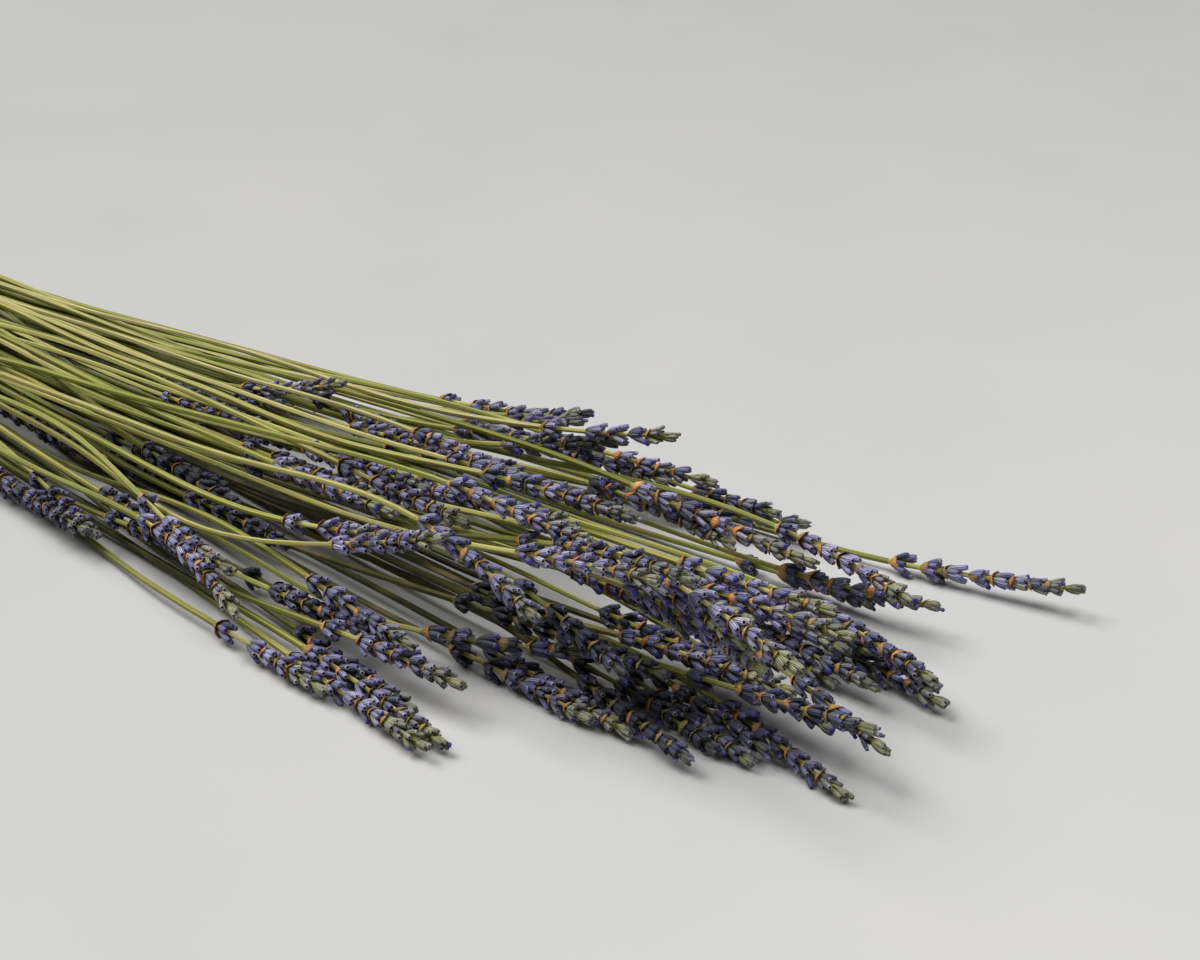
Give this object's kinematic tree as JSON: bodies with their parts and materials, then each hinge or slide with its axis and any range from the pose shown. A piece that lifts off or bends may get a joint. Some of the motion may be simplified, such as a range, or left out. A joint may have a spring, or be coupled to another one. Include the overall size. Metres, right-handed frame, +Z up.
{
  "type": "bunch of dried lavender",
  "caption": "Loose bunch of dried lavender lying flat: slim square stems run from level cut ends and fan out into overlapping flower heads of whorled florets.",
  "frame": {"origin": "on the surface that the bunch lies on, under the middle of its bounding box", "axes": "+X along the bunch from the cut ends to the flower heads, +Y across it, +Z up"},
  "size_m": [0.42, 0.1574, 0.0453],
  "materials": {
    "dried_stem": "dry matt stem, yellow-green to straw, finely ridged along its length",
    "dried_flower": "dry matt flower head, grey-violet florets with grey-green feet and ochre papery bracts"
  },
  "bodies": {
    "root": {"stems_01": "dried_stem", "stems_02": "dried_stem", "stems_03": "dried_stem", "stems_04": "dried_stem", "stems_05": "dried_stem", "stems_06": "dried_stem", "stems_07": "dried_stem", "stems_08": "dried_stem", "stems_09": "dried_stem", "stems_10": "dried_stem", "stems_11": "dried_stem", "stems_12": "dried_stem", "stems_13": "dried_stem", "stems_14": "dried_stem", "stems_15": "dried_stem", "stems_16": "dried_stem", "stems_17": "dried_stem", "stems_18": "dried_stem", "stems_19": "dried_stem", "stems_20": "dried_stem", "stems_21": "dried_stem", "stems_22": "dried_stem", "stems_23": "dried_stem", "stems_24": "dried_stem", "stems_25": "dried_stem", "stems_26": "dried_stem", "stems_27": "dried_stem", "stems_28": "dried_stem", "stems_29": "dried_stem", "stems_30": "dried_stem", "heads_01": "dried_flower", "heads_02": "dried_flower", "heads_03": "dried_flower", "heads_04": "dried_flower", "heads_05": "dried_flower", "heads_06": "dried_flower", "heads_07": "dried_flower", "heads_08": "dried_flower", "heads_09": "dried_flower", "heads_10": "dried_flower", "heads_11": "dried_flower", "heads_12": "dried_flower", "heads_13": "dried_flower", "heads_14": "dried_flower", "heads_15": "dried_flower", "heads_16": "dried_flower", "heads_17": "dried_flower", "heads_18": "dried_flower", "heads_19": "dried_flower", "heads_20": "dried_flower", "heads_21": "dried_flower", "heads_22": "dried_flower", "heads_23": "dried_flower", "heads_24": "dried_flower", "heads_25": "dried_flower", "heads_26": "dried_flower", "heads_27": "dried_flower", "heads_28": "dried_flower", "heads_29": "dried_flower", "heads_30": "dried_flower"}
  },
  "joints": []
}
